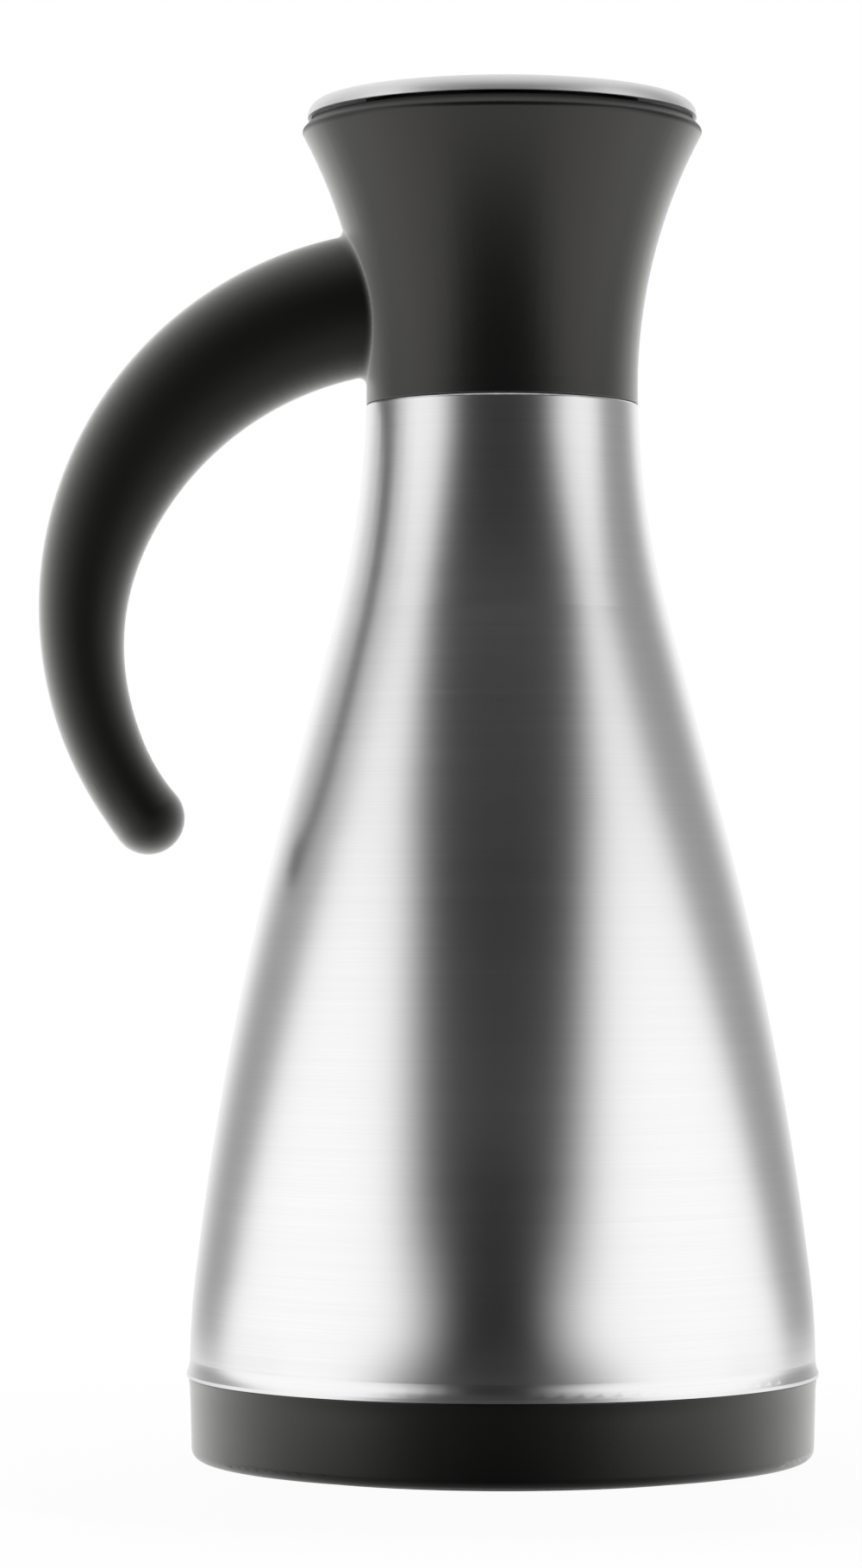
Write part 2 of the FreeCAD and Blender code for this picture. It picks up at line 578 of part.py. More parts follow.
def make_outer_shell():
    hip_low, hip_high, flank_low, flank_high, neck = wall_points("skin")
    in_hip_low, in_hip_high, in_flank_low, in_flank_high, in_neck = wall_points("lining")
    return turned_body("outer_shell", [
        ("shell_foot_radius", "seat_z"),
        ("shell_foot_radius", "Size.base_height"),
        ("lip_radius", "Size.base_height"),
        ("lip_radius", "Size.base_height + Size.foot_lip_edge"),
        ("Size.foot_radius", "foot_z"),
        hip_low,
        hip_high,
        flank_low,
        flank_high,
        ("seam_radius", "seam_z"),
        ("neck_tube_radius", "seam_z"),
        ("neck_tube_radius", "mouth_z"),
        ("neck_tube_radius - Size.shell_wall", "mouth_z"),
        ("neck_tube_radius - Size.shell_wall", "seam_z - Size.shell_wall"),
        ("seam_inner_radius", "seam_z - Size.shell_wall"),
        in_flank_high,
        in_flank_low,
        in_hip_high,
        in_hip_low,
        ("lining_foot_radius", "foot_z"),
        ("lining_foot_radius", "Size.base_height + Size.shell_wall"),
        ("shell_foot_radius - Size.shell_wall", "Size.base_height + Size.shell_wall"),
        ("shell_foot_radius - Size.shell_wall", "seat_z"),
    ], {
        3: ("(Size.foot_lip_rise ^ 2 + Size.foot_lip_run ^ 2) / (2 * Size.foot_lip_run)", "right"),
        4: ("foot_curve", "left"),
        6: ("hip_curve", "left"),
        8: ("neck_curve", "right"),
        14: ("lining_neck_curve", "left"),
        16: ("lining_hip_curve", "right"),
        18: ("lining_foot_curve", "right"),
    })


# Outer bottom: dished plate welded into the shell's foot, with a raised pump-out dimple

def make_shell_bottom():
    return turned_body("shell_bottom", [
        ("shell_foot_radius - Size.shell_wall", "seat_z"),
        ("shell_foot_radius - Size.shell_wall", "bottom_z + Size.shell_wall - Size.bottom_round"),
        ("shell_foot_radius - Size.shell_wall - Size.bottom_round", "bottom_z + Size.shell_wall"),
        ("Size.dimple_radius + Size.dimple_rise", "bottom_z + Size.shell_wall"),
        ("Size.dimple_radius", "bottom_z + Size.shell_wall + Size.dimple_rise"),
        ("Size.pump_hole_radius", "bottom_z + Size.shell_wall + Size.dimple_rise"),
        ("Size.pump_hole_radius", "bottom_z + Size.dimple_rise"),
        ("Size.dimple_radius - Size.shell_wall / 2", "bottom_z + Size.dimple_rise"),
        ("Size.dimple_radius + Size.dimple_rise - Size.shell_wall / 2", "bottom_z"),
        ("shell_foot_radius - Size.shell_wall - Size.bottom_round", "bottom_z"),
        ("shell_foot_radius - 2 * Size.shell_wall",
         "bottom_z + Size.shell_wall - Size.bottom_round"),
        ("shell_foot_radius - 2 * Size.shell_wall", "seat_z"),
    ], {
        1: ("Size.bottom_round", "left"),
        9: ("Size.bottom_round - Size.shell_wall", "right"),
    })


# Bead of braze that closes the pump-out hole from below, inside the dimple

def make_vacuum_seal():
    return turned_body("vacuum_seal", [
        ("0", "bottom_z + Size.dimple_rise"),
        ("0", "bottom_z + Size.dimple_rise - Size.bead_height"),
        ("Size.bead_radius", "bottom_z + Size.dimple_rise"),
    ], {1: ("(Size.bead_radius ^ 2 + Size.bead_height ^ 2) / (2 * Size.bead_height)", "left")})


# Getter: a pellet fixed on the outer bottom, inside the vacuum

def make_getter():
    pellet = doc.addObject("Part::Cylinder", "getter")
    bind(pellet, Radius="Size.getter_radius", Height="Size.getter_height")
    bind_place(pellet, x="Size.getter_offset", z="Layout.bottom_z + Size.shell_wall")
    return pellet


# Inner flask: thin steel, hung from the mouth by a lip that lies on the outer neck

def make_inner_flask():
    hip_low, hip_high, flank_low, flank_high, neck = wall_points("flask")
    in_hip_low, in_hip_high, in_flank_low, in_flank_high, in_neck = wall_points("store")
    return turned_body("inner_flask", [
        ("flask_foot_radius", "foot_z"),
        hip_low,
        hip_high,
        flank_low,
        flank_high,
        neck,
        ("flask_neck_radius", "mouth_z"),
        ("neck_tube_radius", "mouth_z"),
        ("neck_tube_radius", "lip_z"),
        ("flask_bore", "lip_z"),
        in_neck,
        in_flank_high,
        in_flank_low,
        in_hip_high,
        in_hip_low,
        ("store_foot_radius", "foot_z"),
    ], {
        0: ("flask_foot_curve", "left"),
        2: ("flask_hip_curve", "left"),
        4: ("flask_neck_curve", "right"),
        10: ("store_neck_curve", "left"),
        12: ("store_hip_curve", "right"),
        14: ("store_foot_curve", "right"),
    })


# Inner bottom: dished plate welded into the foot of the inner flask

def make_inner_bottom():
    edge = "store_foot_radius - Size.inner_bottom_fit"
    return turned_body("inner_bottom", [
        ("0", "foot_z"),
        (f"{edge} - Size.inner_bottom_round", "foot_z"),
        (edge, "foot_z + Size.inner_bottom_round"),
        (edge, "foot_z + Size.inner_bottom_rim"),
        (f"{edge} - Size.liner_wall", "foot_z + Size.inner_bottom_rim"),
        (f"{edge} - Size.liner_wall", "foot_z + Size.inner_bottom_round"),
        (f"{edge} - Size.inner_bottom_round", "foot_z + Size.liner_wall"),
        ("0", "foot_z + Size.liner_wall"),
    ], {
        1: ("Size.inner_bottom_round", "left"),
        5: ("Size.inner_bottom_round - Size.liner_wall", "right"),
    })


# Neck seal: silicone ring on the flask's lip, which keeps liquid out of the collar

def make_neck_seal():
    return turned_body("neck_seal", [
        ("neck_tube_radius - Size.neck_seal_width", "lip_z"),
        ("neck_tube_radius", "lip_z"),
        ("neck_tube_radius", "lip_z + Size.neck_seal_height"),
        ("neck_tube_radius - Size.neck_seal_width", "lip_z + Size.neck_seal_height"),
    ])


# Collar: moulded, flared from the neck seam to a bevelled rim, bored for the handle's screws

COLLAR_SKIN = [
    ("seam_radius", "seam_z"),
    ("Size.waist_radius", "waist_z"),
    ("Size.rim_radius", "rim_z"),
]
COLLAR_LAND = (flare("collar_curve", "land_z"), "land_z")
COLLAR_BORE = ("collar_bore", "bore_top_z")


def make_collar_blank():
    return turned_body("collar_blank", [
        ("collar_bore", "seam_z"),
        *COLLAR_SKIN,
        ("land_radius", "land_z"),
        COLLAR_LAND,
        COLLAR_BORE,
    ], {
        2: ("flare_curve", "right"),
        5: ("collar_curve", "left"),
    })


def make_collar(blank, screw_holes):
    collar = doc.addObject("Part::Cut", "collar")
    collar.Base = blank
    collar.Tool = screw_holes
    return collar


# Handle: a horn of elliptical sections that narrows to a round tip, cut to sit on the collar

SECTIONS = 10
CONTACT = 1e-3


def shared_edges(joined, first, second):
    """Numbers of the edges along which two joined solids meet."""
    found = []
    for number, edge in enumerate(joined.Edges, start=1):
        middle = edge.valueAt((edge.FirstParameter + edge.LastParameter) / 2)
        point = Part.Vertex(middle)
        skins = (first.Shells[0], second.Shells[0])
        if all(skin.distToShape(point)[0] < CONTACT for skin in skins):
            found.append(number)
    return found


def make_horn():
    sections = []
    for number in range(SECTIONS):
        name = f"horn{number}"
        share = f"{number} / {SECTIONS - 1}"
        derive(f"{name}_turn",
               f"handle_root_turn + (Size.tip_turn * 1 deg - handle_root_turn) * {share}")
        for curve in ("upper", "lower"):
            owner = "Size." if curve == "upper" else ""
            shift = f"{owner}grip_{curve}_shift"
            drop = f"{owner}grip_{curve}_drop"
            derive(f"{name}_{curve}_along", f"{shift} * cos({name}_turn) - {drop} * sin({name}_turn)")
            derive(f"{name}_{curve}_reach",
                   f"{name}_{curve}_along + sqrt(grip_{curve}_radius ^ 2 - {shift} ^ 2"
                   f" - {drop} ^ 2 + {name}_{curve}_along ^ 2)")
        derive(f"{name}_reach",
               f"{name}_turn < grip_meet_turn ? {name}_upper_reach : {name}_lower_reach")
        derive(f"{name}_depth", f"Size.handle_back_radius - {name}_reach")
        derive(f"{name}_middle", f"(Size.handle_back_radius + {name}_reach) / 2")
        derive(f"{name}_width",
               "min(Size.handle_root_width + (Size.handle_tip_width - Size.handle_root_width)"
               f" * {share}; {name}_depth - Size.handle_flatness)")
        section = doc.addObject("Part::Ellipse", name)
        section.Placement = FreeCAD.Placement(FreeCAD.Vector(), FreeCAD.Rotation(AXIS_Y, -1))
        bind(section, MajorRadius=f"Layout.{name}_depth / 2", MinorRadius=f"Layout.{name}_width / 2")
        section.setExpression("Placement.Rotation.Angle", f"-Layout.{name}_turn")
        bind_place(
            section,
            x=f"Layout.handle_centre_x + Layout.{name}_middle * cos(Layout.{name}_turn)",
            z=f"Layout.handle_centre_z + Layout.{name}_middle * sin(Layout.{name}_turn)")
        sections.append(section)
    refresh()
    horn = doc.addObject("Part::Loft", "horn")
    horn.Sections = sections
    horn.Solid = True
    last = sections[-1]
    tip = doc.addObject("Part::Ellipsoid", "horn_tip")
    tip.Angle1 = -90
    tip.Angle2 = 90
    tip.Angle3 = 360
    bind(tip,
         Radius1=f"{last.Name}.MajorRadius",
         Radius2=f"{last.Name}.MajorRadius",
         Radius3=f"{last.Name}.MinorRadius",
         Placement=f"{last.Name}.Placement")
    whole = doc.addObject("Part::MultiFuse", "horn_whole")
    whole.Shapes = [horn, tip]
    collar_outside = turned_body("collar_outside", [
        ("0", "seam_z"),
        *COLLAR_SKIN,
        ("0", "rim_z"),
    ], {2: ("flare_curve", "right")})
    return gather("horn_on_collar", "MultiFuse", [whole, collar_outside])


def make_handle(joined, screw_shanks):
    whole, collar_outside = joined.Shapes
    rounded = doc.addObject("Part::Fillet", "horn_root")
    rounded.Base = joined
    radius = place("handle_root_round")
    rounded.Edges = [(number, radius, radius)
                     for number in shared_edges(joined.Shape, whole.Shape, collar_outside.Shape)]
    seated = doc.addObject("Part::Cut", "horn_seated")
    seated.Base = rounded
    seated.Tool = collar_outside
    handle = doc.addObject("Part::Cut", "handle")
    handle.Base = seated
    handle.Tool = screw_shanks
    return handle


# Saddle plate: shaped to the inside of the collar, flat under the screw heads

def make_handle_plate(screw_holes):
    block = doc.addObject("Part::Box", "plate_block")
    bind(block,
         Length="Layout.saddle_x - Layout.collar_back_x",
         Width="Size.plate_width",
         Height="Size.plate_height")
    bind_place(block,
               x="Layout.collar_back_x",
               y="-Size.plate_width / 2",
               z="Layout.saddle_z - Size.plate_height / 2")
    collar_inside = turned_body("collar_inside", [
        ("0", "seam_z"),
        ("collar_bore", "seam_z"),
        COLLAR_BORE,
        COLLAR_LAND,
        ("0", "land_z"),
    ], {2: ("collar_curve", "right")})
    fitted = doc.addObject("Part::MultiCommon", "plate_fitted")
    fitted.Shapes = [block, collar_inside]
    plate = doc.addObject("Part::Cut", "handle_plate")
    plate.Base = fitted
    plate.Tool = screw_holes
    return plate


# Handle screws: socket heads on the saddle plate, shanks through the collar into the handle

def bar_along_x(name, side, radius, start, length):
    """A round bar along -X from a starting place, on one side of the middle plane."""
    bar = doc.addObject("Part::Cylinder", name)
    bar.Placement = FreeCAD.Placement(FreeCAD.Vector(), FreeCAD.Rotation(AXIS_Y, -90))
    bind(bar, Radius=radius, Height=length)
    bind_place(bar, x=start, y=f"{side} * Size.handle_screw_spacing / 2", z="Layout.saddle_z")
    return bar


def make_handle_screws():
    reach = "Layout.saddle_x - Layout.screw_end_x"
    holes = []
    shanks = []
    screws = []
    for side, word in ((1, "near"), (-1, "far")):
        start = "Layout.saddle_x"
        shank = bar_along_x(f"shank_{word}", side, "Size.handle_screw_radius", start, reach)
        head = bar_along_x(f"head_{word}", side, "Size.handle_head_radius",
                           "Layout.saddle_x + Size.handle_head_height", "Size.handle_head_height")
        hole = bar_along_x(f"hole_{word}", side, "Size.handle_screw_radius + Size.screw_clearance",
                           start, reach)
        socket = doc.addObject("Part::Prism", f"socket_{word}")
        socket.Polygon = 6
        socket.Placement = FreeCAD.Placement(FreeCAD.Vector(), FreeCAD.Rotation(AXIS_Y, -90))
        bind(socket, Circumradius="Size.key_size / sqrt(3)", Height="Size.key_depth")
        bind_place(socket,
                   x="Layout.saddle_x + Size.handle_head_height",
                   y=f"{side} * Size.handle_screw_spacing / 2",
                   z="Layout.saddle_z")
        blank = gather(f"screw_blank_{word}", "MultiFuse", [shank, head])
        screw = doc.addObject("Part::Cut", f"screw_{word}")
        screw.Base = blank
        screw.Tool = socket
        holes.append(hole)
        shanks.append(shank)
        screws.append(screw)
    hole_group = gather("screw_holes", "Compound", holes)
    shank_group = gather("screw_shanks", "Compound", shanks)
    return gather("handle_screws", "Compound", screws), hole_group, shank_group


# Pouring funnel: lifts out of the collar; its lip lies on the collar's rim, its cone is the
# lid's seat, its spigot plugs into the flask and two bosses at the back hold the hinge pin

def make_pour_funnel():
    body = new_body("pour_funnel")
    skin = [
        (flare("funnel_curve", "bowl_z - Size.seat_wall"), "bowl_z - Size.seat_wall"),
        (flare("funnel_curve", "land_z"), "land_z"),
    ]
    turn(body, "funnel_turn", [
        ("throat_radius", "spigot_z"),
        ("spigot_radius", "spigot_z"),
        ("spigot_radius", "ring_z - ring_groove_half"),
        ("ring_groove_radius", "ring_z - ring_groove_half"),
        ("ring_groove_radius", "ring_z + ring_groove_half"),
        ("spigot_radius", "ring_z + ring_groove_half"),
        ("spigot_radius", "throat_z - Size.seat_wall"),
        *skin,
        ("land_radius", "land_z"),
        ("bevel_top_radius", "bevel_top_z"),
        (flare("bowl_curve", "bevel_top_z"), "bevel_top_z"),
        ("bowl_radius", "bowl_z"),
        ("throat_radius", "throat_z"),
    ], {
        7: ("funnel_curve", "right"),
        11: ("bowl_curve", "left"),
    })
    drill_across(body, "hinge_bosses", "Size.knuckle_radius", "Size.pin_length", "Pad")
    turn(body, "boss_trim", [
        *skin,
        ("Size.rim_radius", "land_z"),
        ("Size.rim_radius", "bowl_z - Size.seat_wall"),
    ], {0: ("funnel_curve", "right")}, "Groove")
    drill_across(body, "knuckle_slot", "slot_radius", "Layout.slot_width")
    drill_across(body, "pin_bore", "Size.pin_radius", "Size.pin_length")
    return body


# Spigot ring: grips the flask's neck and seals it

def make_funnel_o_ring():
    ring = doc.addObject("Part::Torus", "funnel_o_ring")
    bind(ring,
         Radius1="Layout.ring_groove_radius + Size.ring_thickness / 2",
         Radius2="Size.ring_thickness / 2")
    bind_place(ring, z="Layout.ring_z")
    return ring


# Hinge pin: held in the funnel's two bosses, with the lid's knuckle running on it

def make_hinge_pin():
    pin = doc.addObject("Part::Cylinder", "hinge_pin")
    pin.Placement = FreeCAD.Placement(FreeCAD.Vector(), FreeCAD.Rotation(AXIS_X, -90))
    bind(pin, Radius="Size.pin_radius", Height="Size.pin_length")
    bind_place(pin, x="Layout.hinge_x", y="-Size.pin_length / 2", z="Layout.hinge_z")
    return pin


# Lid cap: pressed dome of even sheet with a tight bend and a short skirt

def make_lid_cap():
    return turned_body("lid_cap", [
        ("0", "lid_top_z - Size.lid_sheet"),
        ("crown_inner_curve * sin(crown_lean)", "crown_centre_z + crown_inner_curve * cos(crown_lean)"),
        ("lid_radius - Size.lid_sheet", "lid_bend_z"),
        ("lid_radius - Size.lid_sheet", "lid_foot_z"),
        ("lid_radius", "lid_foot_z"),
        ("lid_radius", "lid_bend_z"),
        ("crown_curve * sin(crown_lean)", "crown_centre_z + crown_curve * cos(crown_lean)"),
        ("0", "lid_top_z"),
    ], {
        0: ("crown_inner_curve", "right"),
        1: ("bend_inner", "right"),
        5: ("Size.lid_bend", "left"),
        6: ("crown_curve", "left"),
    })


# Lid core: moulded plate under the dome, with a hollow hub, a screw boss and the hinge arm

def make_lid_core():
    body = new_body("lid_core")
    hub_inner = "hub_top_radius - Size.hub_wall"
    turn(body, "core_turn", [
        ("0", "lid_screw_z"),
        ("Size.lid_screw_radius", "lid_screw_z"),
        ("Size.lid_screw_radius", "plug_floor_z"),
        ("Size.boss_radius", "plug_floor_z"),
        ("Size.boss_radius", crown("plate_curve", "Size.boss_radius")),
        (hub_inner, crown("plate_curve", hub_inner)),
        ("hub_foot_radius - Size.hub_wall", "seal_top_z"),
        ("hub_foot_radius", "seal_top_z"),
        ("hub_top_radius", "hub_top_z"),
        ("core_radius", crown("plate_curve", "core_radius")),
        ("core_radius", crown("crown_inner_curve", "core_radius")),
        ("0", "lid_top_z - Size.lid_sheet"),
    ], {
        4: ("plate_curve", "right"),
        8: ("plate_curve", "right"),
        10: ("crown_inner_curve", "left"),
    })
    arm = new_sketch(body, "hinge_arm_outline")
    draw_outline(arm, [
        ("hinge_x", "hinge_z - Size.knuckle_radius"),
        ("arm_end_x", "hinge_z - Size.knuckle_radius"),
        ("arm_end_x", "hinge_z + Size.knuckle_radius"),
        ("hinge_x", "hinge_z + Size.knuckle_radius"),
    ], {})
    extrude(body, arm, "hinge_arm", "Pad", "Size.knuckle_width")
    drill_across(body, "knuckle", "Size.knuckle_radius", "Size.knuckle_width", "Pad")
    drill_across(body, "knuckle_bore", "Size.pin_radius + Size.pin_fit", "Size.knuckle_width")
    return body


# Lid seal: silicone ring clamped between hub and plug, bevelled like its seat

def make_lid_seal():
    return turned_body("lid_seal", [
        ("seal_bore", "seal_z"),
        ("seal_radius", "seal_z"),
        ("seal_radius + Size.seal_thickness * seat_slope", "seal_top_z"),
        ("seal_bore", "seal_top_z"),
    ])


# Lid plug: cup that closes the hub, carries the weight and sinks the screw's head

def make_lid_plug():
    return turned_body("lid_plug", [
        ("Size.lid_head_radius + Size.head_gap", "plug_z"),
        ("plug_foot_radius", "plug_z"),
        ("plug_flange_radius", "seal_z - Size.plug_flange"),
        ("plug_flange_radius", "seal_z"),
        ("seal_bore", "seal_z"),
        ("seal_bore", "seal_top_z + Size.plug_rim"),
        ("weight_radius + Size.weight_fit", "seal_top_z + Size.plug_rim"),
        ("weight_radius + Size.weight_fit", "plug_floor_z"),
        ("Size.lid_screw_radius + Size.screw_clearance", "plug_floor_z"),
        ("Size.lid_screw_radius + Size.screw_clearance", "head_seat_z"),
        ("Size.lid_head_radius + Size.head_gap", "head_seat_z"),
    ])


# Lid weight: steel slug on the boss, low in the hub, so that the lid swings open when tipped

def make_lid_weight():
    return turned_body("lid_weight", [
        ("Size.boss_radius", "plug_floor_z"),
        ("weight_radius", "plug_floor_z"),
        ("weight_radius", "plug_floor_z + Size.weight_height"),
        ("Size.boss_radius", "plug_floor_z + Size.weight_height"),
    ])


# Lid screw: sunk in the plug, up into the core's boss

def make_lid_screw():
    return turned_body("lid_screw", [
        ("0", "plug_z"),
        ("Size.lid_head_radius", "plug_z"),
        ("Size.lid_head_radius", "head_seat_z"),
        ("Size.lid_screw_radius", "head_seat_z"),
        ("Size.lid_screw_radius", "lid_screw_z"),
        ("0", "lid_screw_z"),
    ])


# The plain forms come first, then the rounds on their edges and what is cut from them

handle_screws, screw_holes, screw_shanks = make_handle_screws()
base_cup = make_base_cup()
outer_shell = make_outer_shell()
collar_blank = make_collar_blank()
horn_on_collar = make_horn()
pieces = [
    base_cup,
    make_base_pad(),
    outer_shell,
    make_shell_bottom(),
    make_vacuum_seal(),
    make_getter(),
    make_inner_flask(),
    make_inner_bottom(),
    make_neck_seal(),
    make_handle_plate(screw_holes),
    handle_screws,
    make_pour_funnel(),
    make_funnel_o_ring(),
    make_hinge_pin(),
    make_lid_cap(),
    make_lid_core(),
    make_lid_seal(),
    make_lid_plug(),
    make_lid_weight(),
    make_lid_screw(),
]
doc.recompute()
round_ring(base_cup, "base_lip", "base_lip_round", "base_top_radius", "base_height")
round_ring(outer_shell, "seam_edge", "seam_round", "seam_radius", "seam_z")
round_ring(collar_blank, "collar_rim", "rim_round", "rim_radius", "rim_z")
pieces.append(make_collar(collar_blank, screw_holes))
pieces.append(make_handle(horn_on_collar, screw_shanks))
doc.recompute()

# Every object has to be sound before any file is written

faults = [item.Name for item in doc.Objects if {"Invalid", "Error"} & set(item.State)]
for piece in pieces:
    if piece.Shape.isNull() or not piece.Shape.isValid() or not piece.Shape.Solids:
        faults.append(piece.Label)
if faults:
    raise RuntimeError("unsound: " + ", ".join(faults))

os.makedirs("parts", exist_ok=True)
for piece in pieces:
    piece.Shape.exportStep(f"parts/{piece.Label}.step")
    box = piece.Shape.BoundBox
    print(f"{piece.Label}: {len(piece.Shape.Solids)} solid, {piece.Shape.Volume:.0f} mm3, "
          f"x {box.XMin:.1f}..{box.XMax:.1f}, z {box.ZMin:.1f}..{box.ZMax:.1f}")
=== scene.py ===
import math

import bmesh
import bpy
from mathutils import Matrix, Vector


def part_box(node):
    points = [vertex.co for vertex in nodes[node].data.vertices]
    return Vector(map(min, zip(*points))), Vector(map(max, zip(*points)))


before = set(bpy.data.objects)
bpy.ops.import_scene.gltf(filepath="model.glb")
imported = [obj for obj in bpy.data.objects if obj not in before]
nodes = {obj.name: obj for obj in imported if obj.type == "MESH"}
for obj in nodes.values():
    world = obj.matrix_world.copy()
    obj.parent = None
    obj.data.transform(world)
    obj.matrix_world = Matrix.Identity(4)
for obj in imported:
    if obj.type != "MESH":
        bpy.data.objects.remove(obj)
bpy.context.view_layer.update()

# Base cup: moulded black plastic with a satin skin, drawn straight out of its mould. It is
# pushed over the foot of the steel body and its top edge stays as a thin ledge under the lip.


class Shade:
    """A socket of a node tree, on which sums can be written as expressions."""

    def __init__(self, tree, socket=None):
        self.tree = tree
        self.socket = socket

    def node(self, kind, settings=None, output=0, **sockets):
        """Add a node: its settings first, then a value or a link for each socket, by name or as i0, i1."""
        made = self.tree.nodes.new(kind)
        for name, setting in (settings or {}).items():
            setattr(made, name, setting)
        for name, value in sockets.items():
            numbered = name[0] == "i" and name[1:].isdigit()
            key = int(name[1:]) if numbered else name.replace("_", " ")
            if isinstance(value, Shade):
                self.tree.links.new(value.socket, made.inputs[key])
            else:
                made.inputs[key].default_value = value
        return Shade(self.tree, made.outputs[output] if made.outputs else None)

    def maths(self, operation, *others):
        """A Math node on this value and the others."""
        terms = {f"i{number}": term for number, term in enumerate((self, *others))}
        return self.node("ShaderNodeMath", {"operation": operation}, **terms)

    def __add__(self, other):
        return self.maths("ADD", other)

    __radd__ = __add__

    def __sub__(self, other):
        return self.maths("SUBTRACT", other)

    def __rsub__(self, other):
        return -self + other

    def __mul__(self, other):
        return self.maths("MULTIPLY", other)

    __rmul__ = __mul__

    def __neg__(self):
        return self * -1.0

    def __abs__(self):
        return self.maths("ABSOLUTE")

    def axes(self):
        """The three numbers of a vector."""
        split = self.node("ShaderNodeSeparateXYZ", Vector=self).socket.node
        return [Shade(self.tree, part) for part in split.outputs]

    def step(self, low, high):
        """0 below low, 1 above high, and a smooth rise between them."""
        return self.node("ShaderNodeMapRange", {"interpolation_type": "SMOOTHSTEP"},
                         i0=self, i1=low, i2=high, i3=0.0, i4=1.0)

    def between(self, first, second):
        """A colour from first to second as this value goes from 0 to 1."""
        return self.node("ShaderNodeMix", {"data_type": "RGBA"}, output=2, i0=self, i6=first, i7=second)


def new_finish(name, **constants):
    """A material with one surface shader, and the place on the piece that patterns read."""
    material = bpy.data.materials.new(name)
    material.use_nodes = True
    tree = material.node_tree
    surface = tree.nodes["Principled BSDF"]
    for socket, value in constants.items():
        surface.inputs[socket.replace("_", " ")].default_value = value
    place = Shade(tree).node("ShaderNodeTexCoord", output="Object")
    return material, surface, place


def feed(surface, **patterns):
    """Lead patterns to a shader."""
    for socket, pattern in patterns.items():
        pattern.tree.links.new(pattern.socket, surface.inputs[socket.replace("_", " ")])


def grain(place, scale, detail, rough=0.5, stretch=(1.0, 1.0, 1.0)):
    """Noise on the piece, as a value round 0.5; stretch packs it closer along an axis."""
    mapped = place.node("ShaderNodeMapping", Vector=place, Scale=stretch)
    return place.node("ShaderNodeTexNoise", Vector=mapped, Scale=scale, Detail=detail, Roughness=rough)


def swing(pattern, middle, reach):
    """A value that follows a pattern to both sides of its middle."""
    return middle + (pattern - 0.5) * reach


def bump(height, depth):
    """A relief on the surface, with its depth in metres."""
    return height.node("ShaderNodeBump", Height=height, Distance=depth, Strength=1.0)


def grey(level, blue=None):
    """A grey, which is slightly warm or cool where its blue is given by itself."""
    return (level, level, level if blue is None else blue, 1.0)


def dress(node, material):
    """Give a piece its finish."""
    mesh = nodes[node].data
    mesh.materials.clear()
    mesh.materials.append(material)


# Height band at the collar's rim, from which the black plastic gets no painted sheen.
RIM_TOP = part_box("collar")[1][2]
SHEENLESS_RIM = (RIM_TOP - 0.0024, RIM_TOP - 0.0014)


def moulded_black(name, shade, roughness, gloss, pebble, painted_sheen_level, falloff):
    """Black moulding with a fine eroded grain, a faint cloud of handling and a painted sheen.

    The painted sheen lightens the base colour towards white where the surface turns away, as
    strongly as its given level, and falloff says how fast it fades. There is none from the
    collar's rim upwards, so the rim stays dark.
    """
    material, surface, place = new_finish(name, Metallic=0.0, IOR=1.52, Specular_IOR_Level=gloss,
                                          Specular_Tint=(1.0, 0.98, 0.95, 1.0))
    cloud = grain(place, scale=38.0, detail=3.0)
    fine = grain(place, scale=1900.0, detail=2.0)
    skin = cloud.between(grey(shade * 0.85, shade * 0.84), grey(shade * 1.15, shade * 1.13))
    x, y, z = place.axes()
    facing = place.node("ShaderNodeLayerWeight", output="Facing", Blend=0.5)
    # Painted sheen: the base colour goes towards white where the surface turns away, but not at the rim.
    painted_sheen = facing.maths("POWER", falloff) * painted_sheen_level * (1.0 - z.step(*SHEENLESS_RIM))
    feed(surface,
         Base_Color=painted_sheen.between(skin, grey(1.0, 0.98)),
         Roughness=swing(fine, middle=swing(cloud, middle=roughness, reach=0.06), reach=0.08),
         Normal=bump(fine, depth=pebble))
    return material


# Its base colour is lightened towards the edges by a painted sheen.
satin_black = moulded_black("satin_black", shade=0.003, roughness=0.39, gloss=0.6, pebble=0.000012,
                            painted_sheen_level=0.9, falloff=3.0)
dress("base_cup", satin_black)

# Non-slip pad: a disc of black rubber glued into the underside of the base cup, with
# pressed rings that grip the table.


def off_axis(place):
    """Distance from the jug's axis."""
    x, y, z = place.axes()
    return (x * x + y * y).maths("SQRT")


RING_STEP = 0.003

pad_rubber, surface, place = new_finish("pad_rubber", Metallic=0.0, IOR=1.5)
ring = (off_axis(place) * (2.0 * math.pi / RING_STEP)).maths("SINE") * 0.5 + 0.5
dust = grain(place, scale=90.0, detail=4.0)
feed(surface,
     Base_Color=dust.between((0.035, 0.035, 0.036, 1.0), (0.07, 0.069, 0.067, 1.0)),
     Roughness=swing(dust, middle=0.72, reach=0.2),
     Normal=bump(ring, depth=0.0003))
dress("base_pad", pad_rubber)

# Outer shell: drawn stainless steel, brushed on a lathe so that fine scratches run round it,
# from the thin lip over the base cup up to the rounded edge under the collar.


